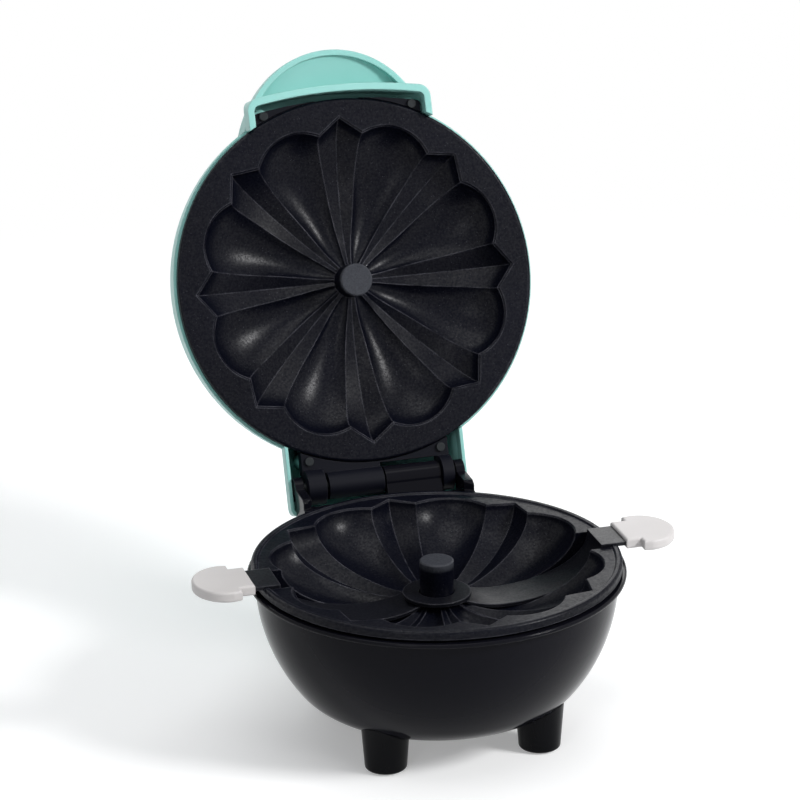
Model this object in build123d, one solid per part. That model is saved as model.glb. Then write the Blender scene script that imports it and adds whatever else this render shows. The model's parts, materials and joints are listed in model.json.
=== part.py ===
"""Small fluted-cake maker: a round countertop cooker with a hinged lid.

Millimetres, +Z up.  The origin is the centre of the base on the surface it
stands on; the front (handle side) faces -Y and the hinge is at +Y.  The lid is
drawn closed, in its own frame, and swung open by open_lid().
"""
import os
from math import acos, asin, cos, degrees, hypot, radians, sin, sqrt, tan

from build123d import *

# ---------------------------------------------------------------- overall
parting_height = 59.6        # counter to the face of the lower plate
plate_gap = 1.6              # between the two plate faces when closed
lid_open_angle = 110.0       # the lid's swing, closed to its open stop
hinge_behind = 71.0          # hinge axis behind the centre
hinge_above = 2.2            # hinge axis above the face of the lower plate
seat_clearance = 0.1         # between pieces that nest
side_clearance = 0.3         # between faces of different bodies

# ---------------------------------------------------------------- fluted plates
flute_count = 8
flute_tip_radius = 57.2      # points of the scalloped outline
lobe_peak_radius = 55.8      # crowns of the round lobes
lobe_arc_radius = 16.6       # roundness of one lobe at the rim
tip_half_angle = 52.6        # half the angle of one point, degrees
crown_radius = 22.0          # ring on which the cavity is deepest
inner_fall = 24.0            # how fast the floor rises again towards the post
post_radius = 5.75
tip_lift = 0.8               # the pointed flutes are this much shallower
lower_cavity_depth = 18.0
upper_cavity_depth = 14.0
lower_plate_floor = 4.4      # metal under the deepest point, lower plate
upper_plate_floor = 1.8      # the same in the lid, kept light
bevel = 0.6                  # bevel round the scalloped outline
lower_plate_radius = 62.1
upper_plate_radius = 64.0
lower_flange = 2.2
upper_flange = 3.0
upper_centre_recess = 3.0    # hollow behind the post of the upper plate
flange_round = 1.0
spigot_length = 1.8          # straight part under the flange
ledge_radius = 60.3          # step under the lower flange, on the bowl's rim
ledge_height = 1.0
lip_radius = 59.6            # inner edge of the raised lip round the lower face
lip_height = 0.6
back_flat_radius = 30.0
shield_boss_radius = 3.0
shield_boss_circle = 34.0
shield_boss_bearings = (90, 210, 330)
base_boss_radius = 4.2
base_boss_circle = 46.0
base_boss_bearings = (0, 68, 112, 180)
base_boss_drop = 24.0        # foot of these bosses below the plate's face

# ---------------------------------------------------------------- base
bowl_rim_radius = 63.5
bowl_rim_thickness = 1.6
bowl_mouth_radius = 60.9
bowl_bottom_height = 10.5    # underside of the bowl above the counter
bowl_wall = 2.0
bowl_side_round = 59.3
bowl_heel_round = 19.9
bowl_draft = 2.5             # degrees
bowl_side_turn = 35.1        # degrees taken by the side's arc
foot_spacing = 53.4          # between foot centres, left to right
foot_depth_spacing = 57.6    # and front to rear
foot_bottom_radius = 7.0
foot_top_radius = 8.4
foot_top_height = 19.0
foot_peg_radius = 3.0
foot_peg_top = 17.0
foot_edge_round = 1.0
pad_radius = 5.0
pad_height = 1.4
pad_proud = 0.4
cover_radius = 22.0
cover_thickness = 2.0
cover_opening_radius = 18.0
cover_land_radius = 25.0
cover_land_height = 4.0
cover_screw_circle = 20.2
vent_slot_length = 12.0
vent_slot_width = 2.4
vent_slot_pitch = 6.0
vent_slot_count = 5
cover_screw_radius = 1.2
cover_screw_bearings = (90, 210, 330)
cut_below = 2.5              # cuts from below start this far under the bowl
base_screw_seat = 22.0       # height of the step under the long screws' heads
gland_height = 30.0
gland_inner = 51.0
gland_face = 58.5
gland_boss_radius = 8.0
gland_body_radius = 5.0
gland_flange_radius = 7.0
gland_bore_radius = 3.2
terminal_front = 25.4
thermostat_radius = 8.0
fuse_radius = 1.9
fuse_forward = -14.5

# ---------------------------------------------------------------- hinge
pin_radius = 2.0
running_clearance = 0.05
barrel_radius = 4.75
ear_radius = 4.2
ear_rise = 1.4               # top of the ears above the hinge axis
lug_radius = 6.2
base_half_width = 30.9       # over the outer ears
ear_thickness = 3.2
left_lug_gap = 1.3           # between the lid's left lug and the ear beside it
left_lug_inner = -20.0
lid_barrel_span = (-18.6, 1.3)
base_barrel_span = (1.9, 21.9)
right_lug_inner = 22.5
right_lug_gap = 1.1
hinge_block_length = 14.0    # front to rear
hinge_gusset_low = 40.0      # foot of the gusset under the hinge block
hinge_block_top = 57.4
hinge_block_underside = 53.8
hinge_block_rear = 6.6       # in front of the hinge axis
ear_reach = 15.8             # the ears start this far in front of the axis
stop_reach = 4.1             # the open lid's end wall meets the ears this far in front

# ---------------------------------------------------------------- lid
lid_wall = 2.0
lid_skirt_radius = 65.0
lid_skirt_top_radius = 64.6
lid_lip = 3.2                # lip above the face of the upper plate
lid_skirt_height = 10.0
lid_shoulder_round = 22.0
lid_shoulder_turn = 68.0     # degrees taken by the shoulder's arc
brow_half_width = 33.2       # the straight front of the lid
brow_front = 68.7
brow_sag = 3.0
brow_back = 45.0             # the brow and the tab start inside the dome here
brow_wall = 2.3
lid_cut_height = 40.0        # cuts and bosses in the lid are drawn up to here
brow_low = -3.0              # the brow hangs this far below the face of the upper plate
brow_round = 4.5             # its two front corners, in plan
brow_shoulder = ((33.2, 3.6), (30.5, 9.5), (25, 15.5), (14, 21), (0, 24.5))
tab_low = 7.0                # underside of the tab in the lid's frame
tab_radius = 33.6            # thumb tab in front of the brow
tab_centre = 48.4
tab_slope = ((-45, 24), (-50, 21), (-60, 15.5), (-70, 12.2), (-82, 10.4))
neck_gap = 0.4               # between the neck's walls and the ears
neck_wall = 1.2
neck_cheek_height = 4.6      # upright part of the neck's sides
neck_lean = 28.0             # their lean above it, degrees
neck_start = 47.0
neck_start_height = 30.0
neck_overhang = 9.5          # neck behind the hinge axis
neck_end_height = 8.0
neck_corner_height = 14.0
neck_corner_back = 3.5       # corner of the neck's roof behind the hinge axis
neck_round = 3.0
liner_thickness = 2.0
liner_neck_low = 1.0         # underside of the liner by the hinge, lid's frame
liner_front_low = 1.2        # underside of the liner under the brow
liner_side_gap = 0.7         # between the liner and the brow's wall
liner_setback = 1.7          # and this much more at the front
liner_high = 5.0             # top of the liner
liner_neck_gap = 0.9         # between the liner's neck and the ears
liner_opening_radius = 59.6
liner_ring_radius = 62.8
liner_neck_rear = 66.5
liner_screw_radius = 0.9
liner_screw_places = ((-27.0, -60.0), (27.0, -60.0), (-24.0, 61.8), (24.0, 61.8))
flange_screw_radius = 0.9
flange_screw_circle = 61.2
flange_screw_bearings = (45, 135, 225, 315)
lens_radius = 4.0
lens_forward = 22.0
lens_proud = 0.9
lamp_radius = 2.6
lamp_length = 7.0

# ---------------------------------------------------------------- heating
tube_radius = 3.25
terminal_radius = 1.2
ring_radius = 25.0
ring_gap = 50.0              # degrees left open in the heating ring
shield_thickness = 0.8
weight_thickness = 5.0       # steel plate that keeps the base down under the open lid
shield_radius = 39.5
shield_lip = 4.0
screw_radius = 1.5
screw_head_radius = 2.8
screw_head_height = 2.0

# ---------------------------------------------------------------- lifter
strap_width = 15.0
strap_thickness = 1.3
strap_seat = 0.2             # between the strap and the plate under it
strap_top = 1.2              # above the face of the lower plate, at the rim
strap_ring_radius = 11.5
tongue_width = 9.0
tongue_setback = 4.6         # end of the tongue inside the handle's nose
handle_inner = 64.4
handle_neck_half_width = 8.4
handle_neck_length = 5.1
handle_head_half_width = 11.6
handle_head_length = 14.1
handle_thickness = 3.6
handle_edge_round = 0.8

# ---------------------------------------------------------------- derived
lid_plane = parting_height + plate_gap
hinge_height = parting_height + hinge_above
axis_in_lid = hinge_height - lid_plane
ear_inner = base_half_width - ear_thickness
lid_lug_left = (left_lug_gap - ear_inner, left_lug_inner)
lid_lug_right = (right_lug_inner, ear_inner - right_lug_gap)
liner_neck_half_width = ear_inner - liner_neck_gap
neck_half_width = base_half_width + neck_gap + neck_wall
under_bowl = bowl_bottom_height - cut_below
handle_head_start = handle_inner + handle_neck_length
handle_reach = handle_head_start + handle_head_length
tongue_reach = handle_reach - tongue_setback
bowl_rim_height = parting_height - lower_flange - ledge_height
lower_back = lower_cavity_depth + lower_plate_floor
upper_back = upper_cavity_depth + upper_plate_floor
strap_low = strap_top - strap_thickness
sector_angle = 360 / flute_count
hinge_axis = Axis((0, hinge_behind, hinge_height), (1, 0, 0))
NODES = {}


def node(name, shape):
    """Keep a finished shape under its node name."""
    shape.label = name
    NODES[name] = shape


def open_lid(shape):
    """Take a shape from the closed lid's frame to the open lid in the part's frame."""
    closed = Pos(0, 0, lid_plane) * shape
    return closed.rotate(hinge_axis, -lid_open_angle)


def disc(radius, low, high):
    """Upright cylinder between two heights."""
    return Pos(0, 0, (low + high) / 2) * Cylinder(radius, high - low)


def block(x, y, z):
    """Box given by its three spans."""
    centre = Pos((x[0] + x[1]) / 2, (y[0] + y[1]) / 2, (z[0] + z[1]) / 2)
    return centre * Box(x[1] - x[0], y[1] - y[0], z[1] - z[0])


def bar(radius, x_from, x_to, y, z):
    """Round bar along X."""
    turned = Rot(0, 90, 0) * Cylinder(radius, x_to - x_from)
    return Pos((x_from + x_to) / 2, y, z) * turned


def around(shape, bearings, radius):
    """Copies of a shape standing on a circle."""
    return [Rot(0, 0, b) * Pos(radius, 0, 0) * shape for b in bearings]


def join(shapes):
    """One shape from several that touch or overlap."""
    result = shapes[0]
    for shape in shapes[1:]:
        result = result + shape
    return result


def turn(curves):
    """Solid of revolution about Z from a closed XZ profile."""
    return revolve(Plane.XZ * make_face(curves), Axis.Z)


def side_plate(curves, x_from, x_to):
    """Plate between two X stations from a closed (y, z) profile."""
    face = Plane.YZ.offset(x_from) * make_face(curves)
    return extrude(face, x_to - x_from)


# ================================================================ fluted cavity
FAN = (-6, 12, 30, 52, 80, 110, 135, 158)   # section planes, degrees from the rim
SECTION_DEPTH = 14.0                        # depth of one section at the rim


def reach_at(angle, outer, depth):
    """Distance from the crown ring to the flute's floor, at an angle below the rim."""
    run = outer if angle <= 90 else inner_fall
    a = cos(radians(angle)) / run
    b = sin(radians(angle)) / depth
    return 1 / hypot(a, b)


def fan_plane(angle):
    """Section plane that hinges on the crown ring, square to the flute."""
    a = radians(angle)
    return Plane(
        origin=(crown_radius, 0, 0),
        x_dir=(cos(a), 0, -sin(a)),
        z_dir=(sin(a), 0, cos(a)),
    )


def share_at(angle, reach):
    """Size of a section as a share of the section at the rim."""
    return (crown_radius + reach * cos(radians(angle))) / lobe_peak_radius


def lobe_cutter(depth):
    """Round flute along +X: D sections that shrink towards the post."""
    sections = []
    for angle in FAN:
        reach = reach_at(angle, lobe_peak_radius - crown_radius, depth)
        share = share_at(angle, reach)
        radius = lobe_arc_radius * share
        inner = reach - SECTION_DEPTH * share
        half = sqrt(radius**2 - (radius - SECTION_DEPTH * share) ** 2)
        arc = ThreePointArc((inner, -half), (reach, 0), (inner, half))
        sections.append(fan_plane(angle) * make_face(arc + Line(arc @ 1, arc @ 0)))
    return loft(sections)


def tip_cutter(depth):
    """Pointed flute along +X: triangular sections that flatten towards the crown."""
    sections = []
    for angle in FAN:
        reach = reach_at(angle, flute_tip_radius - crown_radius, depth)
        share = share_at(angle, reach)
        inner = reach - SECTION_DEPTH * share
        spread = tan(radians(tip_half_angle)) + 0.8 * sin(radians(min(max(angle, 0), 90)))
        half = SECTION_DEPTH * share * spread
        corners = Polyline((inner, -half), (reach, 0), (inner, half), close=True)
        sections.append(fan_plane(angle) * make_face(corners))
    return loft(sections)


def core_cutter(depth):
    """Middle of the cavity, inside all the flutes."""
    points = []
    for angle in FAN:
        reach = reach_at(angle, lobe_peak_radius - crown_radius, depth)
        reach -= 10 * share_at(angle, reach)
        a = radians(angle)
        points.append((crown_radius + reach * cos(a), -reach * sin(a)))
    floor = Spline(*points)
    close = Polyline(floor @ 1, (0, (floor @ 1).Y), (0, (floor @ 0).Y), floor @ 0)
    return turn(floor + close)


def outline_bevels():
    """Cutters for the bevel of one lobe along +X and of one point along +X."""
    over = 0.2
    round_height = bevel + over
    cone = Cone(lobe_arc_radius, lobe_arc_radius + round_height, round_height)
    lobe = Pos(lobe_peak_radius - lobe_arc_radius, 0, round_height / 2 - bevel) * cone
    outsets = []
    for height, grow in ((-bevel, 0.0), (over, round_height)):
        tip = flute_tip_radius + grow / sin(radians(tip_half_angle))
        back = flute_tip_radius - SECTION_DEPTH
        half = (tip - back) * tan(radians(tip_half_angle))
        corners = Polyline((back, -half), (tip, 0), (back, half), close=True)
        outsets.append(Pos(0, 0, height) * make_face(corners))
    return lobe, loft(outsets, ruled=True)


def fluted(blank, depth, post_foot):
    """Cut the fluted cavity into a round blank whose face lies at z = 0."""
    half = sector_angle / 2
    far = 2 * upper_plate_radius
    corner = (far * cos(radians(half)), far * sin(radians(half)))
    wedge_face = make_face(Polyline((0, 0), (corner[0], -corner[1]), corner, close=True))
    wedge = Pos(0, 0, -far / 2) * extrude(wedge_face, far)
    sector = (blank - disc(post_radius - 0.75, -far, far)) & wedge
    sector = sector - core_cutter(depth)
    lobe_bevel, tip_bevel = outline_bevels()
    for side in (-half, half):
        sector = sector - Rot(0, 0, side) * tip_cutter(depth - tip_lift)
        sector = sector - Rot(0, 0, side) * tip_bevel
    sector = sector - lobe_cutter(depth)
    sector = sector - lobe_bevel
    turns = [Rot(0, 0, sector_angle * (k + 0.5)) * sector for k in range(flute_count)]
    ring = turns[0].fuse(*turns[1:]).clean()
    post = disc(post_radius, post_foot, 0)
    post = chamfer(post.faces().sort_by(Axis.Z)[-1].edges(), 0.4)
    return ring + post


def plate_blank(flange_radius, flange, back, lip, ledge):
    """Blank of one plate, face up at z = 0: flange, spigot and rounded back."""
    rim_points = [(0, 0), (flange_radius - flange_round, lip)]
    if lip:
        rim_points[1:1] = [(lip_radius, 0), (lip_radius + lip, lip)]
    rim_top = Polyline(*rim_points)
    edge = RadiusArc(rim_top @ 1, (flange_radius, lip - flange_round), flange_round)
    under = -flange
    spigot = bowl_mouth_radius - bowl_wall - seat_clearance - side_clearance
    steps = [edge @ 1, (flange_radius, under)]
    if ledge:
        steps += [(ledge_radius, under), (ledge_radius, under - ledge)]
        under -= ledge
    under_spigot = under - spigot_length
    steps += [(spigot, under), (spigot, under_spigot)]
    back_curve = EllipticalCenterArc(
        (back_flat_radius, under_spigot),
        spigot - back_flat_radius,
        back + under_spigot,
        start_angle=270,
        arc_size=90,
    )
    bottom = Polyline((back_flat_radius, -back), (0, -back), (0, 0))
    return turn(rim_top + edge + Polyline(*steps) + back_curve + bottom)


def upper_blank():
    """Blank of the lid's plate: its back follows the cavity, to keep the lid light."""
    depth = upper_back + 0.5
    run = lobe_peak_radius + upper_plate_floor + 0.9 - crown_radius
    ring_in = ring_radius - tube_radius - 2
    ring_out = ring_radius + tube_radius + 1
    low_end = degrees(asin(upper_flange / depth))
    high_end = degrees(acos((ring_out - crown_radius) / run))
    wall = EllipticalCenterArc((crown_radius, 0), run, depth,
                               start_angle=-low_end, arc_size=low_end - high_end)
    top = flange_round
    edge = RadiusArc((upper_plate_radius - top, 0), (upper_plate_radius, -top), top)
    rim = Polyline(edge @ 1, (upper_plate_radius, -upper_flange), wall @ 0)
    back = Polyline(wall @ 1, (ring_out, -upper_back), (ring_in, -upper_back),
                    (ring_in - 9, -upper_back + upper_centre_recess),
                    (0, -upper_back + upper_centre_recess), (0, 0), edge @ 0)
    return turn(edge + rim + wall + back)


# ================================================================ lifter
def flute_floor(lift):
    """Space over the floor of a pointed flute, lifted by a distance: an XZ face."""
    depth = lower_cavity_depth - tip_lift - lift
    centre = (crown_radius, 0)
    inner = EllipticalCenterArc(centre, inner_fall, depth, start_angle=205, arc_size=65)
    run = flute_tip_radius - crown_radius - lift
    outer = EllipticalCenterArc(centre, run, depth, start_angle=270, arc_size=90)
    top = Polyline(outer @ 1, ((inner @ 0).X, 0), inner @ 0)
    return make_face(inner + outer + top)


def rim_slab(inner, outer, low, high):
    """XZ rectangle on the plate's rim."""
    corners = Polyline((inner, low), (outer, low), (outer, high), (inner, high), close=True)
    return make_face(corners)


def strap_arms(face, width):
    """An XZ face drawn out to a width on both sides of the post."""
    arm = extrude(Plane.XZ * face, width / 2, both=True)
    arm = arm - disc(post_radius + side_clearance, -lower_plate_radius, lower_plate_radius)
    return arm + Rot(0, 0, 180) * arm


def strap_tongue():
    """End of the strap inside the right handle."""
    return block((handle_inner, tongue_reach), (-tongue_width / 2, tongue_width / 2),
                 (strap_low, strap_top))


def ring_seat():
    """Height of the seat for the strap's ring, round the post."""
    run = crown_radius - post_radius - side_clearance
    return -(lower_cavity_depth - tip_lift) * sqrt(1 - (run / inner_fall) ** 2)


def lifter_strap():
    low = strap_seat
    high = strap_seat + strap_thickness
    floor = flute_floor(low) - flute_floor(high)
    edge = flute_tip_radius - high
    rim = rim_slab(edge, handle_inner, strap_low, strap_top)
    arms = strap_arms(floor + rim, strap_width)
    inner = post_radius + side_clearance
    ring_low = ring_seat() + low
    ring = disc(strap_ring_radius, ring_low, ring_low + strap_thickness)
    ring = ring - disc(inner, ring_low - 1, ring_low + strap_thickness + 1)
    return arms + ring + strap_tongue() + Rot(0, 0, 180) * strap_tongue()


def strap_groove():
    """Room for the strap in the lower plate."""
    channel = rim_slab(flute_tip_radius - 1, lower_plate_radius + 1,
                       strap_low - strap_seat, lip_height + 1)
    seat = disc(strap_ring_radius + side_clearance, ring_seat(), 0)
    seat = seat - disc(post_radius, ring_seat() - 1, 1)
    return strap_arms(flute_floor(0) + channel, strap_width + 2 * side_clearance) + seat


def lifter_handle():
    """Right handle: a short neck and a half-round head over the strap's tongue."""
    head_bulge = handle_head_start + 3
    neck = rim_slab(handle_inner, handle_head_start + 1,
                    -handle_neck_half_width, handle_neck_half_width)
    half = handle_head_half_width
    nose = EllipticalCenterArc((head_bulge, 0), handle_reach - head_bulge, half + 0.5,
                               start_angle=-90, arc_size=180)
    cheek = Polyline(nose @ 1, (handle_head_start, half), (handle_head_start, -half), nose @ 0)
    plan = make_face(nose + cheek) + neck
    middle = strap_top - strap_thickness / 2
    grip = Pos(0, 0, middle) * extrude(plan, handle_thickness / 2, both=True)
    tops = grip.faces().sort_by(Axis.Z)
    grip = fillet(tops[0].edges() + tops[-1].edges(), handle_edge_round)
    return grip - strap_tongue()


# ================================================================ plates and heating
def plate_bosses(back, top):
    """Bosses under a plate for its heat shield."""
    low = -(back + 2 * tube_radius)
    bosses = around(disc(shield_boss_radius, low, top),
                    shield_boss_bearings, shield_boss_circle)
    holes = around(disc(screw_radius + seat_clearance, low - 1, -back - 1),
                   shield_boss_bearings, shield_boss_circle)
    return bosses, holes


def lower_plate():
    blank = plate_blank(lower_plate_radius, lower_flange, lower_back, lip_height, ledge_height)
    plate = fluted(blank, lower_cavity_depth, -lower_back)
    bosses, holes = plate_bosses(lower_back, -lower_back + lower_plate_floor / 2)
    mounts = around(disc(base_boss_radius, -base_boss_drop, -lower_flange - ledge_height - 2),
                    base_boss_bearings, base_boss_circle)
    plate = join([plate] + bosses + [boss - blank for boss in mounts])
    pilot = disc(screw_radius + seat_clearance, -base_boss_drop - 1, -base_boss_drop + 7.5)
    for hole in holes + around(pilot, base_boss_bearings, base_boss_circle):
        plate = plate - hole
    return plate - strap_groove()


def upper_plate():
    plate = fluted(upper_blank(), upper_cavity_depth, -upper_back + upper_centre_recess)
    bosses, holes = plate_bosses(upper_back, -upper_cavity_depth)
    plate = join([plate] + bosses)
    pilot = disc(flange_screw_radius, -upper_flange - 1, -1.2)
    for hole in holes + around(pilot, flange_screw_bearings, flange_screw_circle):
        plate = plate - hole
    return plate


def upper_plate_screws():
    """Small screws through the liner's ring into the flange of the upper plate."""
    seat = -upper_flange - liner_thickness
    shank = disc(flange_screw_radius - 0.05, seat, -1.4)
    head = disc(flange_screw_radius + 0.4, seat - 1, seat)
    return Compound(around(shank + head, flange_screw_bearings, flange_screw_circle))


def heating_ring(back):
    """Open ring of tube against the flat back of a plate, with its two terminals."""
    height = -(back + tube_radius)
    start = 90 + ring_gap / 2
    tube = Plane.XZ * Pos(ring_radius, height) * Circle(tube_radius)
    ring = Rot(0, 0, start) * revolve(tube, Axis.Z, 360 - ring_gap)
    pin_length = 6.0
    for side in (-1, 1):
        pin = Rot(90, 0, 0) * Cylinder(terminal_radius, pin_length)
        pin = Pos(ring_radius, -side * (pin_length / 2 - 1), height) * pin
        ring = ring + Rot(0, 0, 90 + side * ring_gap / 2) * pin
    return ring


def shield_openings(shape, low, high):
    """Cut the screw holes and the notch for the leads."""
    for hole in around(disc(screw_radius + seat_clearance, low, high), shield_boss_bearings,
                       shield_boss_circle):
        shape = shape - hole
    return shape - block((-5, 5), (ring_radius - 6, ring_radius + 3), (low, high))


def heat_shield(back):
    """Dished reflector that presses the ring against the plate."""
    top = -(back + 2 * tube_radius)
    low = top - shield_thickness
    edge = shield_radius - shield_thickness
    outline = Polyline((0, low), (shield_radius, low), (shield_radius, top + shield_lip),
                       (edge, top + shield_lip), (edge, top), (0, top), close=True)
    return shield_openings(turn(outline), low - 1, top + 1)


def base_weight():
    """Steel plate under the lower shield, held by the same screws."""
    high = -(lower_back + 2 * tube_radius) - shield_thickness
    low = high - weight_thickness
    return shield_openings(disc(shield_radius, low, high), low - 1, high + 1)


def headed_screw(shank_low, shank_high):
    """Screw along Z with its head under the shank."""
    shank = disc(screw_radius, shank_low, shank_high)
    head = disc(screw_head_radius, shank_low - screw_head_height, shank_low)
    cross = Box(0.7, 3.2, 1.6) + Box(3.2, 0.7, 1.6)
    return shank + head - Pos(0, 0, shank_low - screw_head_height) * cross


def shield_screws(back, clamped):
    """Screws that clamp the shield, and what lies under it, to the plate's bosses."""
    low = -(back + 2 * tube_radius) - clamped
    return Compound(around(headed_screw(low, -back - 2), shield_boss_bearings,
                           shield_boss_circle))


# ================================================================ base
def bowl_form(inset, top):
    """The bowl's outer form, drawn in by a distance and filled up to a height."""
    heel_turn = 90 - bowl_draft - bowl_side_turn
    rise = (bowl_heel_round * (1 - cos(radians(heel_turn)))
            + bowl_side_round * (cos(radians(heel_turn)) - sin(radians(bowl_draft))))
    run = (bowl_heel_round * sin(radians(heel_turn))
           + bowl_side_round * (cos(radians(bowl_draft)) - sin(radians(heel_turn))))
    straight = bowl_rim_height - bowl_rim_thickness - bowl_bottom_height - rise
    floor_radius = bowl_mouth_radius - run - straight * tan(radians(bowl_draft))
    low = bowl_bottom_height + inset
    floor = Line((0, low), (floor_radius, low))
    heel = JernArc(floor @ 1, (1, 0), bowl_heel_round - inset, heel_turn)
    side = JernArc(heel @ 1, heel % 1, bowl_side_round - inset, bowl_side_turn)
    end = side @ 1
    mouth = (end.X + (top - end.Y) * tan(radians(bowl_draft)), top)
    close = Polyline(end, mouth, (0, top), (0, low))
    return turn(floor + heel + side + close)


def hinge_block():
    """Block behind the bowl with its two ears and the base's knuckle."""
    y = hinge_behind
    z = hinge_height
    rear = y - hinge_block_rear
    base = block((-base_half_width, base_half_width), (rear - hinge_block_length, rear),
                 (hinge_block_underside, hinge_block_top))
    gusset_side = Polyline((rear - hinge_block_length, hinge_gusset_low),
                           (rear - 4, hinge_block_underside - 8),
                           (rear, hinge_block_underside),
                           (rear - hinge_block_length, hinge_block_underside), close=True)
    base = base + side_plate(gusset_side, -base_half_width, base_half_width)
    shapes = [base]
    front = y - ear_reach
    for x in (-base_half_width, base_half_width - ear_thickness):
        side = Polyline((y, z), (y, z + ear_rise), (front + 3.2, z + ear_rise - 0.2),
                        (front + 1.6, z + ear_rise - 1.1), (front, z + ear_rise - 2.6),
                        (front, hinge_block_underside),
                        (y - stop_reach, hinge_block_underside),
                        (y - stop_reach + 0.4, hinge_block_underside + 1),
                        (y - stop_reach + 0.7, z - 5.5), close=True)
        shapes.append(side_plate(side, x, x + ear_thickness))
        shapes.append(bar(ear_radius, x, x + ear_thickness, y, z))
    web = Polyline((y, z), (y - barrel_radius, z), (rear, hinge_block_top),
                   (rear, hinge_block_underside + 1.6), (y, z - barrel_radius), close=True)
    shapes.append(side_plate(web, *base_barrel_span))
    shapes.append(bar(barrel_radius, *base_barrel_span, y, z))
    return join(shapes)


def pin_hole():
    """Bore for the hinge pin through every knuckle."""
    reach = base_half_width + 1
    return bar(pin_radius + running_clearance, -reach, reach, hinge_behind, hinge_height)


def base_housing():
    outer = bowl_form(0, bowl_rim_height)
    rim = disc(bowl_rim_radius, bowl_rim_height - bowl_rim_thickness, bowl_rim_height)
    rim = fillet(rim.edges(), bowl_rim_thickness / 2 - 0.1)
    inner = bowl_form(bowl_wall, bowl_rim_height + 1)
    plate_room = disc(lower_plate_radius + side_clearance + 0.2, bowl_rim_height, parting_height)
    lid_room = disc(upper_plate_radius + side_clearance, parting_height,
                    hinge_height + ear_radius)
    gland_boss = bar_y(gland_boss_radius, gland_inner, gland_face, 0, gland_height)
    shell = outer + rim + gland_boss + (hinge_block() - plate_room - lid_room - outer) - inner
    land = disc(cover_land_radius, bowl_bottom_height, bowl_bottom_height + cover_land_height)
    pillar_top = parting_height - base_boss_drop
    pillars = [p & outer for p in around(disc(base_boss_radius, under_bowl, pillar_top),
                                         base_boss_bearings, base_boss_circle)]
    housing = join([shell, land] + pillars)
    cuts = [disc(cover_radius + seat_clearance, 0, bowl_bottom_height + cover_thickness),
            disc(cover_opening_radius, 0, bowl_bottom_height + cover_land_height + 1),
            bar_y(gland_body_radius + seat_clearance, gland_inner - 5, gland_face + 5,
                  0, gland_height),
            pin_hole()]
    cuts += around(disc(screw_radius + seat_clearance, under_bowl, pillar_top + 1),
                   base_boss_bearings, base_boss_circle)
    cuts += around(disc(screw_head_radius + side_clearance, under_bowl, base_screw_seat),
                   base_boss_bearings, base_boss_circle)
    cuts += foot_places(disc(foot_peg_radius + running_clearance, under_bowl, foot_peg_top + 3))
    cuts += around(disc(cover_screw_radius, under_bowl,
                        bowl_bottom_height + cover_land_height - 0.8),
                   cover_screw_bearings, cover_screw_circle)
    for cut in cuts:
        housing = housing - cut
    return housing


def bar_y(radius, y_from, y_to, x, z):
    """Round bar along Y."""
    turned = Rot(90, 0, 0) * Cylinder(radius, y_to - y_from)
    return Pos(x, (y_from + y_to) / 2, z) * turned


def foot_places(shape):
    """A shape at each of the four feet."""
    x = foot_spacing / 2
    y = foot_depth_spacing / 2
    return [Pos(a * x, b * y, 0) * shape for b in (-1, 1) for a in (-1, 1)]


def feet():
    """Four tapered feet, staked into the bowl by a peg, with their rubber pads."""
    height = foot_top_height - pad_proud
    leg = Cone(foot_bottom_radius, foot_top_radius, height)
    leg = Pos(0, 0, pad_proud + height / 2) * leg
    leg = fillet(leg.edges().sort_by(Axis.Z)[0], foot_edge_round)
    leg = leg - disc(pad_radius + seat_clearance, 0, pad_height)
    bowl = bowl_form(0, bowl_rim_height)
    peg = disc(foot_peg_radius, bowl_bottom_height, foot_peg_top)
    pad = disc(pad_radius, 0, pad_height)
    names = ("front_left", "front_right", "rear_left", "rear_right")
    placed = zip(names, foot_places(leg), foot_places(peg), foot_places(pad))
    for name, leg_here, peg_here, pad_here in placed:
        node(f"foot_{name}", (leg_here - bowl) + peg_here)
        node(f"foot_pad_{name}", pad_here)


def bottom_cover():
    cover = disc(cover_radius, bowl_bottom_height, bowl_bottom_height + cover_thickness)
    slot = SlotOverall(vent_slot_length, vent_slot_width)
    slot = Pos(0, 0, bowl_bottom_height - 1) * extrude(slot, cover_thickness + 2)
    half = (vent_slot_count - 1) / 2
    for k in range(vent_slot_count):
        cover = cover - Pos(0, (k - half) * vent_slot_pitch, 0) * slot
    for hole in around(disc(cover_screw_radius + seat_clearance, under_bowl,
                            bowl_bottom_height + cover_thickness + 1),
                       cover_screw_bearings, cover_screw_circle):
        cover = cover - hole
    return cover


def cover_screws():
    shank = disc(cover_screw_radius - seat_clearance, bowl_bottom_height,
                 bowl_bottom_height + cover_land_height - 1)
    head = disc(cover_screw_radius + 0.8, bowl_bottom_height - 0.9, bowl_bottom_height)
    return Compound(around(shank + head, cover_screw_bearings, cover_screw_circle))


def base_screws():
    top = parting_height - base_boss_drop + 7
    return Compound(around(headed_screw(base_screw_seat, top), base_boss_bearings,
                           base_boss_circle))


def cord_gland():
    """Flanged bush in the rear wall, with a plain bore for the cord."""
    body = bar_y(gland_body_radius, gland_inner - 1.5, gland_face, 0, gland_height)
    flange = bar_y(gland_flange_radius, gland_face, gland_face + 2.5, 0, gland_height)
    collar = Cone(gland_bore_radius + 1.2, gland_body_radius, 4)
    collar = Pos(0, gland_face + 4.5, gland_height) * Rot(-90, 0, 0) * Rot(180, 0, 0) * collar
    bore = bar_y(gland_bore_radius, gland_inner - 3, gland_face + 8, 0, gland_height)
    return body + flange + collar - bore


def terminal_block():
    low = bowl_bottom_height + bowl_wall
    body = block((-11, 11), (terminal_front, terminal_front + 6), (low, low + 8))
    for x in (-6.6, 0, 6.6):
        body = body - bar_y(1.4, terminal_front - 1, terminal_front + 7, x, low + 3.2)
        body = body - Pos(x, terminal_front + 3, low + 7) * Cylinder(1.5, 4)
    return body


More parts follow.
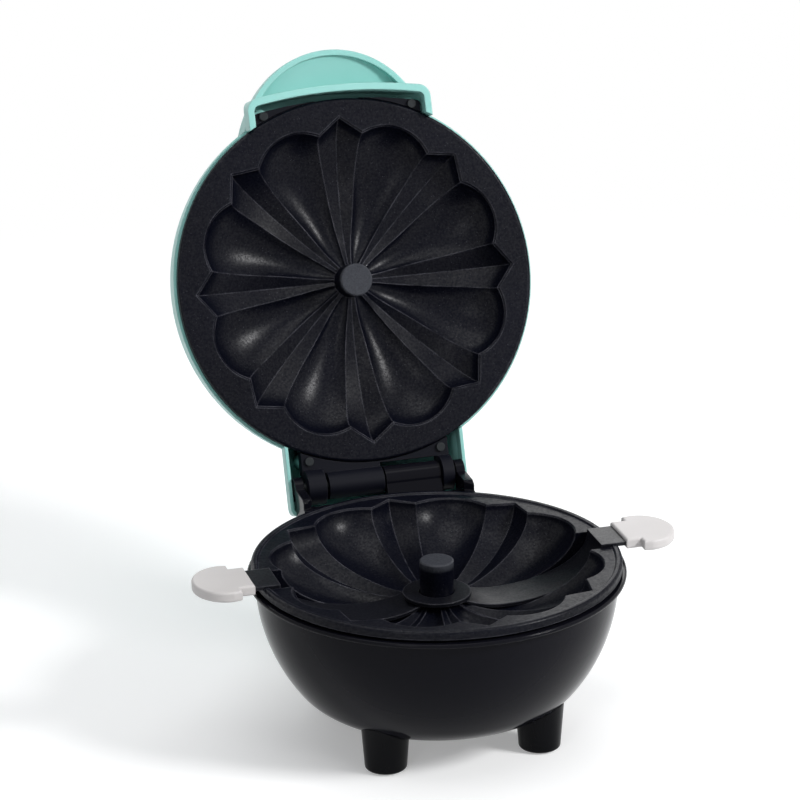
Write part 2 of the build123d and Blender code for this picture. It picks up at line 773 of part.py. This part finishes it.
def thermostat(back):
    """Disc thermostat against the middle of a plate, with its two tabs."""
    face = -back
    body = disc(thermostat_radius, face - 3, face) + disc(thermostat_radius - 1.2, face - 5, face)
    tabs = [block((x - 0.4, x + 0.4), (-2, 2), (face - 6.3, face - 4)) for x in (-3, 3)]
    return join([body] + tabs)


def thermal_fuse(back):
    """Fuse lying in a saddle on the back of a plate."""
    height = -(back + fuse_radius)
    body = bar(fuse_radius, -6, 6, fuse_forward, height)
    saddle = block((-3, 3), (fuse_forward - 3, fuse_forward + 3), (height, -back))
    return body + saddle


# ================================================================ lid
def dome_form(inset, low):
    """The lid's dome, drawn in by a distance and filled down to a height."""
    skirt = Line((lid_skirt_radius - inset, low), (lid_skirt_top_radius - inset, lid_skirt_height))
    shoulder = JernArc(skirt @ 1, skirt % 1, lid_shoulder_round - inset, lid_shoulder_turn)
    end = shoulder @ 1
    slope = shoulder % 1
    crown = JernArc(end, slope, end.X / slope.Y, degrees(asin(slope.Y)))
    close = Polyline(crown @ 1, (0, low), skirt @ 0)
    return turn(skirt + shoulder + crown + close)


def brow_plan(inset):
    """Plan of the lid's straight front."""
    half = brow_half_width - inset
    front = -(brow_front - inset)
    arc = ThreePointArc((half, front + brow_sag), (0, front), (-half, front + brow_sag))
    rest = Polyline(arc @ 1, (-half, -brow_back), (half, -brow_back), arc @ 0)
    plan = make_face(arc + rest)
    return fillet(plan.vertices().sort_by(Axis.Y)[:2], max(brow_round - inset, 1))


def tab_plan(inset):
    return Pos(0, -tab_centre) * Circle(tab_radius - inset)


def under_slope(drop, half_width):
    """Everything under the sloping top of the brow and the tab."""
    slope = Spline(*[(y, z - drop) for y, z in tab_slope])
    start = slope @ 0
    end = slope @ 1
    low = brow_low - 1
    close = Polyline(end, (end.X - 2, end.Y), (end.X - 2, low), (start.X, low), start)
    return side_plate(slope + close, -half_width, half_width)


def under_shoulder(drop):
    """Everything under the brow's roof, which falls away towards its two ends."""
    right = [(x - drop, z - drop) for x, z in brow_shoulder[:-1]]
    peak = (0, brow_shoulder[-1][1] - drop)
    left = [(-x, z) for x, z in reversed(right)]
    roof = Spline(*right, peak, *left)
    low = brow_low - 1
    close = Polyline(roof @ 1, ((roof @ 1).X, low), ((roof @ 0).X, low), roof @ 0)
    return extrude(Plane.XZ.offset(brow_back) * make_face(roof + close), lid_skirt_radius)


def raised(plan, low, high):
    """A plan extruded between two heights."""
    return Pos(0, 0, low) * extrude(plan, high - low)


def neck_form(inset, low):
    """The lid's neck over the hinge, drawn in by a distance."""
    end = hinge_behind + neck_overhang - inset
    corner = hinge_behind + neck_corner_back
    start = neck_start
    side = Polyline((start, low), (end, low), (end, neck_end_height - inset / 2),
                    (corner, neck_corner_height - inset), (start, neck_start_height - inset),
                    close=True)
    half = neck_half_width - inset
    plan = Rectangle(2 * half, 2 * end)
    plan = fillet(plan.vertices(), max(neck_round - inset, 0.5))
    rise = neck_start_height - neck_cheek_height
    roof = half - rise * tan(radians(neck_lean))
    section = Polyline((-half, low), (half, low), (half, neck_cheek_height),
                       (roof, neck_start_height), (-roof, neck_start_height),
                       (-half, neck_cheek_height), close=True)
    cheeks = extrude(Plane.XZ * make_face(section), -end)
    return side_plate(side, -half, half) & raised(plan, low - 1, neck_start_height) & cheeks


def lid_screws(shank_high, head_height):
    """The liner's screws, from its underside into the cover's bosses."""
    screws = []
    for x, y in liner_screw_places:
        low = liner_front_low if y < 0 else liner_neck_low
        shank = disc(liner_screw_radius, low, shank_high)
        head = disc(1.7 * liner_screw_radius, low - head_height, low)
        screws.append(Pos(x, y, 0) * (shank + head))
    return screws


def on_crown(shape):
    """Place a shape on the dome where the lens sits, its own z = 0 on the surface."""
    lean = radians(90) - asin((lid_skirt_height - lid_lip)
                              / hypot(lid_skirt_radius - lid_skirt_top_radius,
                                      lid_skirt_height - lid_lip))
    top = dome_form(0, lid_lip).bounding_box().max.Z
    end_x = lid_skirt_top_radius - lid_shoulder_round * (
        cos(lean) - cos(lean + radians(lid_shoulder_turn)))
    crown_round = end_x / cos(lean + radians(lid_shoulder_turn))
    tilt = degrees(asin(lens_forward / crown_round))
    return Pos(0, 0, top - crown_round) * Rot(tilt, 0, 0) * Pos(0, 0, crown_round) * shape


def lid_cover():
    plate_room = disc(upper_plate_radius + side_clearance, brow_low - 1, lid_lip)
    brow = raised(brow_plan(0), brow_low, lid_cut_height) & under_shoulder(0)
    tab = raised(tab_plan(0), tab_low, lid_cut_height)
    front = (brow + tab) & under_slope(0, brow_half_width + 1)
    outer = dome_form(0, lid_lip) + neck_form(0, 0) + front
    pocket = raised(brow_plan(brow_wall), brow_low - 1, lid_cut_height)
    pocket = pocket & under_slope(lid_wall, brow_half_width) & under_shoulder(lid_wall)
    dish = raised(tab_plan(lid_wall) - brow_plan(0), -1, lid_cut_height)
    dish = dish & under_slope(lid_wall, tab_radius)
    cover = outer - dome_form(lid_wall, 0) - plate_room - pocket - dish
    cover = cover - neck_form(neck_wall, -1)
    for x, y in liner_screw_places:
        boss = disc(3 * liner_screw_radius, liner_high, lid_cut_height)
        cover = cover + (Pos(x, y, 0) * boss & outer)
    for x, y in liner_screw_places:
        cover = cover - Pos(x, y, 0) * disc(liner_screw_radius, liner_high - 1, liner_high + 5)
    return cover - on_crown(disc(lens_radius, -6, 4))


def lid_liner():
    """Black frame that carries the plate and the lid's half of the hinge."""
    high = liner_high
    ring = disc(liner_ring_radius, upper_flange, high)
    plan = Pos(0, liner_setback) * brow_plan(brow_wall + liner_side_gap)
    front = raised(plan, liner_front_low, high)
    neck = block((-liner_neck_half_width, liner_neck_half_width), (neck_start + 1, liner_neck_rear),
                 (liner_neck_low, high))
    flange_room = disc(upper_plate_radius + side_clearance, 0, upper_flange)
    liner = ring + front + neck - flange_room
    liner = liner - disc(liner_opening_radius, 0, high + 1)
    y = hinge_behind
    z = axis_in_lid
    for span, radius in ((lid_lug_left, lug_radius), (lid_lug_right, lug_radius),
                         (lid_barrel_span, barrel_radius)):
        web = block(span, (liner_neck_rear - 1, y), (liner_neck_low, high))
        liner = liner + web + bar(radius, *span, y, z)
    gap = 0.5
    liner = liner - block((base_barrel_span[0] - gap, base_barrel_span[1] + gap),
                          (y - barrel_radius - 1.4, y), (-5, high + 1))
    reach = base_half_width
    liner = liner - bar(pin_radius + running_clearance, -reach, reach, y, z)
    for x, y in liner_screw_places:
        hole = disc(liner_screw_radius + 0.1, 0, high + 1)
        liner = liner - Pos(x, y, 0) * hole
    for hole in around(disc(flange_screw_radius + 0.1, 2, high + 1), flange_screw_bearings,
                       flange_screw_circle):
        liner = liner - hole
    return liner


def indicator_lens():
    button = disc(lens_radius - seat_clearance, -lid_wall, lens_proud)
    button = fillet(button.edges().sort_by(Axis.Z)[-1], 0.6)
    flange = disc(lens_radius + 1.5, -lid_wall - 1.2, -lid_wall)
    return on_crown(button + flange)


def indicator_lamp():
    top = -lid_wall - 1.2
    return on_crown(disc(lamp_radius, top - lamp_length, top))


# ================================================================ nodes
def face_up(shape):
    """Place a piece drawn under the lower plate's face."""
    return Pos(0, 0, parting_height) * shape


def face_down(shape):
    """Place a piece drawn under the upper plate's face."""
    return open_lid(Rot(0, 180, 0) * shape)


node("base_housing", base_housing())
node("bottom_cover", bottom_cover())
node("bottom_cover_screws", cover_screws())
feet()
node("base_screws", base_screws())
node("lower_cooking_plate", face_up(lower_plate()))
node("lower_heating_element", face_up(heating_ring(lower_back)))
node("lower_heat_shield", face_up(heat_shield(lower_back)))
node("base_weight", face_up(base_weight()))
clamped = shield_thickness + weight_thickness
node("lower_shield_screws", face_up(shield_screws(lower_back, clamped)))
node("thermostat", face_up(thermostat(lower_back)))
node("thermal_fuse", face_up(thermal_fuse(lower_back)))
node("terminal_block", terminal_block())
node("cord_gland", cord_gland())
node("hinge_pin", bar(pin_radius, -base_half_width, base_half_width, hinge_behind, hinge_height))
node("lid_cover", open_lid(lid_cover()))
node("lid_liner", open_lid(lid_liner()))
node("liner_screws", open_lid(Compound(lid_screws(liner_high + 4, 0.9))))
node("upper_cooking_plate", face_down(upper_plate()))
node("upper_plate_screws", face_down(upper_plate_screws()))
node("upper_heating_element", face_down(heating_ring(upper_back)))
node("upper_heat_shield", face_down(heat_shield(upper_back)))
node("upper_shield_screws", face_down(shield_screws(upper_back, shield_thickness)))
node("indicator_lens", open_lid(indicator_lens()))
node("indicator_lamp", open_lid(indicator_lamp()))
node("lifter_strap", face_up(lifter_strap()))
node("lifter_handle_right", face_up(lifter_handle()))
node("lifter_handle_left", face_up(Rot(0, 0, 180) * lifter_handle()))

os.makedirs("parts", exist_ok=True)
for name, shape in NODES.items():
    export_step(shape, f"parts/{name}.step")
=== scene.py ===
import json
import math
import bmesh
import bpy
from mathutils import Matrix, Vector


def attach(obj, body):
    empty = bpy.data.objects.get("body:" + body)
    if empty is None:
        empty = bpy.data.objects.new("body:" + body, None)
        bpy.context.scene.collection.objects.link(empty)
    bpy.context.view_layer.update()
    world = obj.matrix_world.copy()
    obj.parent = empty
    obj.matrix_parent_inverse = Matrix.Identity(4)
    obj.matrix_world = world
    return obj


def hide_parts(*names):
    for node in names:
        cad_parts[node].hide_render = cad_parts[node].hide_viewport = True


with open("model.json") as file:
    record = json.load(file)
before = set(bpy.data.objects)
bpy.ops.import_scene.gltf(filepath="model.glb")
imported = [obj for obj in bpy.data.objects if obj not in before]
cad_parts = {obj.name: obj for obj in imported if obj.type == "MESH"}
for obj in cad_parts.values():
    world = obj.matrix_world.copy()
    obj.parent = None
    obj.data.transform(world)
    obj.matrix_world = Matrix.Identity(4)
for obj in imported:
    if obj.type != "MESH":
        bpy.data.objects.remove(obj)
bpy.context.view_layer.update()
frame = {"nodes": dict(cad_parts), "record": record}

nodes = frame["nodes"]
scene = bpy.context.scene
scene.view_settings.view_transform = "Standard"

# Lengths are in metres, and places are in the shared frame at rest, with the lid open.
# Colours are linear, and the scale of a noise is in features a metre.
LOWER_POST_TOP = (0.0, 0.0, 0.0596)
UPPER_POST_TOP = (0.0, 0.09472, 0.12872)
POST_RADIUS = (0.0058, 0.0064)      # the painted highlight on the post top fades out between these
RING_TOP = 0.04825                  # the lifter's ring round the lower post
WHITE = 1.0                         # an emission that renders as white


# ---------------------------------------------------------------- node helpers
class Tree:
    """Short hand for building one node tree."""

    def __init__(self, tree):
        self.tree = tree
        tree.nodes.clear()

    def add(self, kind, **values):
        node = self.tree.nodes.new(kind)
        for key, value in values.items():
            setattr(node, key, value)
        return node

    def link(self, a, b):
        self.tree.links.new(a, b)

    def math(self, operation, a, b):
        node = self.add("ShaderNodeMath", operation=operation)
        for socket, value in ((node.inputs[0], a), (node.inputs[1], b)):
            if isinstance(value, (int, float)):
                socket.default_value = value
            else:
                self.link(value, socket)
        return node.outputs[0]

    def ramp(self, fac, low, high, a=0.0, b=1.0, shape="LINEAR"):
        """fac taken from the range low to high to the range a to b, and held at its ends."""
        node = self.add("ShaderNodeMapRange", clamp=True, interpolation_type=shape)
        self.link(fac, node.inputs["Value"])
        for key, value in (("From Min", low), ("From Max", high), ("To Min", a), ("To Max", b)):
            node.inputs[key].default_value = value
        return node.outputs["Result"]

    def blend(self, fac, first, second):
        """The first shader where fac is 0, the second where it is 1."""
        node = self.add("ShaderNodeMixShader")
        for socket, value in zip(node.inputs, (fac, first.outputs[0], second.outputs[0])):
            self.link(value, socket)
        return node.outputs[0]

    def seen_directly(self):
        """1 for camera, glossy and transmission rays, 0 for the rest."""
        path = self.add("ShaderNodeLightPath")
        seen = path.outputs["Is Camera Ray"]
        for ray in ("Is Glossy Ray", "Is Transmission Ray"):
            seen = self.math("MAXIMUM", seen, path.outputs[ray])
        return seen


class Finish(Tree):
    """A material with one Principled shader, laid out in object coordinates."""

    def __init__(self, name):
        self.mat = bpy.data.materials.new(name)
        self.mat.use_nodes = True
        super().__init__(self.mat.node_tree)
        self.bsdf = self.add("ShaderNodeBsdfPrincipled")
        self.link(self.bsdf.outputs[0], self.add("ShaderNodeOutputMaterial").inputs["Surface"])
        self.coord = self.add("ShaderNodeTexCoord").outputs["Object"]

    def stretched(self, scale):
        node = self.add("ShaderNodeMapping")
        node.inputs["Scale"].default_value = scale
        self.link(self.coord, node.inputs["Vector"])
        return node.outputs[0]

    def noise(self, scale, detail=3.0, rough=0.55, vector=None):
        node = self.add("ShaderNodeTexNoise")
        node.inputs["Scale"].default_value = scale
        node.inputs["Detail"].default_value = detail
        node.inputs["Roughness"].default_value = rough
        self.link(vector or self.coord, node.inputs["Vector"])
        return node.outputs["Fac"]

    def cells(self, scale):
        node = self.add("ShaderNodeTexVoronoi")
        node.inputs["Scale"].default_value = scale
        self.link(self.coord, node.inputs["Vector"])
        return node.outputs["Distance"]

    def away_from(self, place):
        node = self.add("ShaderNodeVectorMath", operation="DISTANCE")
        node.inputs[1].default_value = place
        self.link(self.coord, node.inputs[0])
        return node.outputs["Value"]

    def mix(self, fac, a, b):
        node = self.add("ShaderNodeMix", data_type="RGBA")
        self.link(fac, node.inputs["Factor"])
        for socket, value in ((node.inputs[6], a), (node.inputs[7], b)):
            if isinstance(value, tuple):
                socket.default_value = (*value, 1.0)
            else:
                self.link(value, socket)
        return node.outputs[2]

    def rounded(self, radius):
        node = self.add("ShaderNodeBevel", samples=4)
        node.inputs["Radius"].default_value = radius
        return node.outputs[0]

    def edges(self, radius, low=0.02, high=0.25):
        """1 on sharp edges, 0 on open faces."""
        dot = self.add("ShaderNodeVectorMath", operation="DOT_PRODUCT")
        self.link(self.rounded(radius), dot.inputs[0])
        self.link(self.add("ShaderNodeNewGeometry").outputs["Normal"], dot.inputs[1])
        return self.ramp(self.math("SUBTRACT", 1.0, dot.outputs["Value"]), low, high)

    def bump(self, height, strength, depth, edge):
        """Relief of a depth, over edges rounded by edge."""
        node = self.add("ShaderNodeBump")
        node.inputs["Strength"].default_value = strength
        node.inputs["Distance"].default_value = depth
        self.link(height, node.inputs["Height"])
        self.link(self.rounded(edge), node.inputs["Normal"])
        self.link(node.outputs[0], self.bsdf.inputs["Normal"])

    def set(self, **values):
        for key, value in values.items():
            socket = self.bsdf.inputs[key.replace("_", " ")]
            if isinstance(value, (int, float)):
                socket.default_value = value
            else:
                self.link(value, socket)


def times(colour, factor):
    return tuple(c * factor for c in colour)


def moulded(name, colour, dark, rough, grain=900.0, depth=0.00002, edge=0.0004, edge_wear_and_highlight_colour=None,
            spread=0.06, shine=0.5):
    """Moulded plastic: soft colour drift, smudges, fine grain, and edges lightened partly as
    wear and partly as a painted highlight.
    """
    t = Finish(name)
    edge_wear_and_highlight_width, edge_wear_and_highlight_strength = edge * 1.6, 0.45
    edge_wear_and_highlight_colour = edge_wear_and_highlight_colour or tuple(min(1.0, c * 1.25 + 0.02) for c in colour)
    drift = t.ramp(t.noise(22.0, detail=4.0), 0.35, 0.65)
    base = t.mix(drift, colour, dark)
    # Lightened edges: partly rubbed wear, partly a painted edge highlight.
    edge_wear_and_highlight = t.math("MULTIPLY", t.edges(edge_wear_and_highlight_width), t.ramp(t.noise(140.0), 0.35, 0.7))
    base = t.mix(t.math("MULTIPLY", edge_wear_and_highlight, edge_wear_and_highlight_strength), base, edge_wear_and_highlight_colour)
    smudge = t.ramp(t.noise(60.0, detail=5.0, rough=0.65), 0.3, 0.75,
                    rough - spread, rough + spread)
    t.set(Base_Color=base, Roughness=smudge, Specular_IOR_Level=shine)
    t.bump(t.noise(grain, detail=2.0, rough=0.6), strength=0.35, depth=depth, edge=edge)
    return t.mat


def coated(name, colour, speck, rough=0.38, shine=0.04, post_top=None):
    """Dark non-stick coating: fine pale specks, mottled gloss, worn edges lightened also as a
    painted highlight, and a painted highlight on the post top.
    """
    t = Finish(name)
    edge_wear_and_highlight_width, edge_wear_and_highlight_strength = 0.0007, 0.8
    painted_post_highlight = (0.052, 0.055, 0.065)
    drift = t.ramp(t.noise(30.0, detail=4.0), 0.3, 0.7)
    base = t.mix(drift, colour, times(colour, 1.5))
    dots = t.ramp(t.cells(1500.0), 0.10, 0.22, 1.0, 0.0)
    some = t.ramp(t.noise(800.0, detail=2.0), 0.52, 0.62)
    base = t.mix(t.math("MULTIPLY", dots, some), base, speck)
    # Lightened edges: partly worn coating, partly a painted highlight along the scalloped
    # outline.
    edge_wear_and_highlight = t.math("MULTIPLY", t.edges(edge_wear_and_highlight_width, low=0.015, high=0.16),
                 t.ramp(t.noise(180.0), 0.3, 0.6))
    base = t.mix(t.math("MULTIPLY", edge_wear_and_highlight, edge_wear_and_highlight_strength), base, times(speck, 2.2))
    # Painted highlight: the top of the post is lightened with a pale mottled disc.
    if post_top:
        near = t.ramp(t.away_from(post_top), *POST_RADIUS, 1.0, 0.0)
        mottle = t.ramp(t.noise(1500.0, rough=0.7), 0.3, 0.7, 0.6, 1.0)
        base = t.mix(t.math("MULTIPLY", near, mottle), base, painted_post_highlight)
    grain = t.ramp(t.noise(420.0, rough=0.6), 0.3, 0.7, rough - 0.05, rough + 0.07)
    glaze = t.ramp(t.noise(1250.0, detail=2.0, rough=0.7), 0.36, 0.64, 0.05, 0.23)
    t.set(Base_Color=base, Roughness=grain, Specular_IOR_Level=shine, Coat_Weight=glaze,
          Coat_Roughness=0.28)
    peel = t.math("ADD", t.noise(900.0, detail=2.0), t.math("MULTIPLY", dots, 0.2))
    t.bump(peel, strength=0.6, depth=0.00008, edge=0.0006)
    return t.mat


def metal(name, colour, rough, streak=(60.0, 60.0, 1400.0), patches=None):
    """Drawn or plated metal with fine streaks and a few darker patches."""
    t = Finish(name)
    lines = t.noise(1.0, detail=4.0, rough=0.6, vector=t.stretched(streak))
    patch = t.ramp(t.noise(45.0, detail=4.0), 0.4, 0.7)
    base = t.mix(t.ramp(lines, 0.3, 0.7), colour, times(colour, 0.82))
    base = t.mix(t.math("MULTIPLY", patch, 0.5), base, patches or times(colour, 0.7))
    t.set(Base_Color=base, Metallic=1.0, Roughness=t.ramp(lines, 0.3, 0.7, rough, rough + 0.15))
    t.bump(lines, strength=0.25, depth=0.00002, edge=0.0003)
    return t.mat


def clear(name, colour, rough):
    """Tinted clear plastic or glass with faint moulding waves."""
    t = Finish(name)
    base = t.mix(t.ramp(t.noise(160.0), 0.3, 0.7), colour, times(colour, 0.8))
    t.set(Base_Color=base, Transmission_Weight=0.6,
          Roughness=t.ramp(t.noise(300.0), 0.3, 0.7, rough, rough + 0.08))
    t.bump(t.noise(250.0, detail=2.0), strength=0.2, depth=0.00003, edge=0.0003)
    return t.mat


# ---------------------------------------------------------------- finishes
COATING = dict(colour=(0.0013, 0.0016, 0.0040), speck=(0.05, 0.05, 0.06))
FINISHES = {
    # The bowl's light edge colour is a painted highlight along its rim edges.
    "bowl": moulded(
        "bowl_gloss", (0.0036, 0.0037, 0.0062), (0.0046, 0.0046, 0.0074), rough=0.13,
        grain=300.0, depth=0.000004, edge=0.0005, edge_wear_and_highlight_colour=(0.05, 0.05, 0.056), spread=0.03,
        shine=0.068),
    "foot": moulded(
        "foot_gloss", (0.0014, 0.0016, 0.0026), (0.0022, 0.0024, 0.0034), rough=0.26,
        grain=300.0, depth=0.00001, edge=0.0006, edge_wear_and_highlight_colour=(0.012, 0.012, 0.013), spread=0.05,
        shine=0.08),
    "pad": moulded(
        "pad_rubber", (0.012, 0.012, 0.012), (0.02, 0.0195, 0.019), rough=0.75,
        grain=700.0, depth=0.00005, edge=0.0003, shine=0.2),
    "plate": coated("plate_coating", **COATING, post_top=LOWER_POST_TOP),
    "lid_plate": coated("lid_plate_coating", **COATING, post_top=UPPER_POST_TOP),
    "strap": coated(
        "strap_coating", (0.0035, 0.0038, 0.0058), (0.04, 0.04, 0.048), rough=0.34, shine=0.11),
    "cover": moulded(
        "cover_mint", (0.285, 0.59, 0.55), (0.25, 0.555, 0.51), rough=0.34,
        grain=500.0, depth=0.000012, edge=0.0006, edge_wear_and_highlight_colour=(0.50, 0.78, 0.74), shine=0.4),
    "liner": moulded(
        "liner_black", (0.0026, 0.0030, 0.0062), (0.0040, 0.0044, 0.0080), rough=0.46,
        grain=1100.0, depth=0.00004, edge=0.0004, edge_wear_and_highlight_colour=(0.045, 0.046, 0.056), shine=0.085),
    "handle": moulded(
        "handle_pale", (0.60, 0.575, 0.57), (0.555, 0.53, 0.52), rough=0.48,
        grain=600.0, depth=0.00002, edge=0.0008, edge_wear_and_highlight_colour=(0.70, 0.69, 0.68), shine=0.35),
    "black_steel": moulded(
        "black_paint", (0.007, 0.010, 0.012), (0.011, 0.014, 0.016), rough=0.42,
        grain=900.0, depth=0.00003, edge=0.0003, shine=0.22),
    "gland": moulded(
        "gland_black", (0.007, 0.007, 0.0075), (0.01, 0.01, 0.01), rough=0.55, shine=0.2),
    "thermostat": moulded(
        "phenolic", (0.06, 0.035, 0.025), (0.045, 0.03, 0.022), rough=0.5),
    "fuse": moulded(
        "glazed", (0.62, 0.60, 0.56), (0.55, 0.53, 0.5), rough=0.3),
    "terminal": moulded(
        "terminal_ivory", (0.68, 0.66, 0.58), (0.6, 0.58, 0.5), rough=0.42),
    "steel": metal("plated_steel", (0.58, 0.58, 0.58), rough=0.28),
    "element_steel": metal(
        "element_sheath", (0.40, 0.37, 0.34), rough=0.42, patches=(0.20, 0.15, 0.13)),
    "element_light": metal("element_bare", (0.58, 0.57, 0.56), rough=0.40),
    "shield_light": metal(
        "shield_sheet", (0.66, 0.66, 0.67), rough=0.30, streak=(900.0, 30.0, 30.0)),
    "lens": clear("lens_amber", (0.85, 0.22, 0.05), rough=0.12),
    "lamp": clear("lamp_glass", (0.95, 0.7, 0.55), rough=0.08),
}

finish_of = {part["node"]: part["material_slot"] for part in frame["record"]["subparts"]}
finish_of.update(upper_cooking_plate="lid_plate", liner_screws="black_steel",
                 hinge_pin="black_steel")
for name, obj in nodes.items():
    obj.data.materials.clear()
    obj.data.materials.append(FINISHES[finish_of[name]])


# ---------------------------------------------------------------- lifting strap
def new_object(name, shape):
    """An object made from a bmesh, which is used up."""
    mesh = bpy.data.meshes.new(name)
    shape.to_mesh(mesh)
    shape.free()
    obj = bpy.data.objects.new(name, mesh)
    scene.collection.objects.link(obj)
    return obj


def block(name, low, high):
    """A box between two corners."""
    shape = bmesh.new()
    low, high = Vector(low), Vector(high)
    place = Matrix.Translation((low + high) / 2) @ Matrix.Diagonal((*(high - low), 1.0))
    bmesh.ops.create_cube(shape, size=1.0, matrix=place)
    return new_object(name, shape)


def flush_strap():
    """The strap, with the peaks of its two arms cut off flush with the ring."""
    same_point, sharp = 1e-6, math.radians(28)
    whole = bmesh.new()
    whole.from_mesh(nodes["lifter_strap"].data)
    bmesh.ops.remove_doubles(whole, verts=whole.verts, dist=same_point)
    strap = new_object("strap_whole", whole)
    half_length, half_width, above_peaks = 0.0064, 0.009, 0.060
    peaks = block("strap_cutter", (-half_length, -half_width, RING_TOP),
                  (half_length, half_width, above_peaks))
    cut = strap.modifiers.new("cut", "BOOLEAN")
    cut.operation = "DIFFERENCE"
    cut.solver = "EXACT"
    cut.object = peaks
    bpy.context.view_layer.update()
    shape = bmesh.new()
    shape.from_object(strap, bpy.context.evaluated_depsgraph_get())
    for face in shape.faces:
        face.smooth = True
    for edge in shape.edges:
        edge.smooth = edge.calc_face_angle(math.pi) < sharp
    piece = new_object("lifting_strap", shape)
    for helper in (strap, peaks):
        bpy.data.objects.remove(helper)
    piece.data.materials.append(FINISHES["strap"])
    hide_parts("lifter_strap")
    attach(piece, "lifter")


flush_strap()


# ---------------------------------------------------------------- world and floor
def background(t, colour, strength):
    node = t.add("ShaderNodeBackground")
    node.inputs["Color"].default_value = (*colour, 1.0)
    node.inputs["Strength"].default_value = strength
    return node


def white_world():
    """A soft bluish light, seen as plain white."""
    world = bpy.data.worlds.new("studio")
    scene.world = world
    world.use_nodes = True
    t = Tree(world.node_tree)
    soft = background(t, (0.90, 0.95, 1.0), 0.22)
    white = background(t, (1.0, 1.0, 1.0), WHITE)
    sky = t.blend(t.seen_directly(), soft, white)
    t.link(sky, t.add("ShaderNodeOutputWorld").inputs["Surface"])


def pale_floor():
    """A pale floor that keeps the shadow, and turns to the world's white further out."""
    below_pads, width, grey, lift = -0.00002, 6.0, 0.86, 0.30
    fade_start, fade_end = 0.28, 0.62
    bpy.ops.mesh.primitive_plane_add(size=width, location=(0, 0, below_pads))
    floor = bpy.context.object
    floor.name = "floor"
    mat = bpy.data.materials.new("pale_floor")
    mat.use_nodes = True
    t = Tree(mat.node_tree)
    seen = t.seen_directly()
    diffuse = t.add("ShaderNodeBsdfDiffuse")
    diffuse.inputs["Color"].default_value = (grey, grey, grey, 1.0)
    glow = t.add("ShaderNodeEmission")
    t.link(t.math("MULTIPLY", seen, lift), glow.inputs["Strength"])
    lit = t.add("ShaderNodeAddShader")
    t.link(diffuse.outputs[0], lit.inputs[0])
    t.link(glow.outputs[0], lit.inputs[1])
    white = t.add("ShaderNodeEmission")
    white.inputs["Strength"].default_value = WHITE
    radius = t.add("ShaderNodeVectorMath", operation="LENGTH")
    t.link(t.add("ShaderNodeTexCoord").outputs["Object"], radius.inputs[0])
    far = t.ramp(radius.outputs["Value"], fade_start, fade_end, shape="SMOOTHSTEP")
    surface = t.blend(t.math("MULTIPLY", far, seen), lit, white)
    t.link(surface, t.add("ShaderNodeOutputMaterial").inputs["Surface"])
    floor.data.materials.append(mat)


# ---------------------------------------------------------------- camera and lamps
def camera():
    """The photo's view, fitted to the outlines of the rim, the lid, the feet and the handles."""
    azimuth, elevation, roll = (math.radians(angle) for angle in (-16.03, 19.90, -0.74))
    target, distance = Vector((-0.01199, 0.0, 0.11761)), 1.15594
    focal_pixels, frame_pixels, sensor_mm = 3528.59, 800, 36.0
    back = Vector((math.sin(azimuth) * math.cos(elevation),
                   -math.cos(azimuth) * math.cos(elevation), math.sin(elevation)))
    right = Vector((math.cos(azimuth), math.sin(azimuth), 0.0))
    up = back.cross(right)
    columns = (right * math.cos(roll) + up * math.sin(roll),
               up * math.cos(roll) - right * math.sin(roll), back)
    data = bpy.data.cameras.new("camera")
    data.sensor_width = sensor_mm
    data.lens = focal_pixels / frame_pixels * sensor_mm
    obj = bpy.data.objects.new("camera", data)
    scene.collection.objects.link(obj)
    obj.matrix_world = Matrix.Translation(target + back * distance) @ Matrix(
        [[c[i] for c in columns] for i in range(3)]).to_4x4()
    scene.camera = obj


def lamp(name, watts, place, aim, size):
    """A soft box at place, turned towards aim."""
    data = bpy.data.lights.new(name, "AREA")
    data.shape = "RECTANGLE"
    data.size, data.size_y = size
    data.energy = watts
    obj = bpy.data.objects.new(name, data)
    scene.collection.objects.link(obj)
    obj.location = place
    obj.rotation_mode = "QUATERNION"
    obj.rotation_quaternion = (Vector(aim) - Vector(place)).to_track_quat("-Z", "Y")


white_world()
pale_floor()
camera()
lamp("key", 17.0, place=(0.95, -0.75, 0.85), aim=(0.0, 0.04, 0.1), size=(0.36, 0.36))
lamp("fill", 1.8, place=(-0.75, -1.1, 0.62), aim=(0.0, 0.0, 0.1), size=(0.3, 0.7))
lamp("top", 6.5, place=(-0.15, -0.1, 1.35), aim=(0.0, 0.05, 0.0), size=(1.1, 0.9))
lamp("rear", 3.5, place=(0.2, 1.0, 0.7), aim=(0.0, 0.0, 0.1), size=(0.8, 0.6))
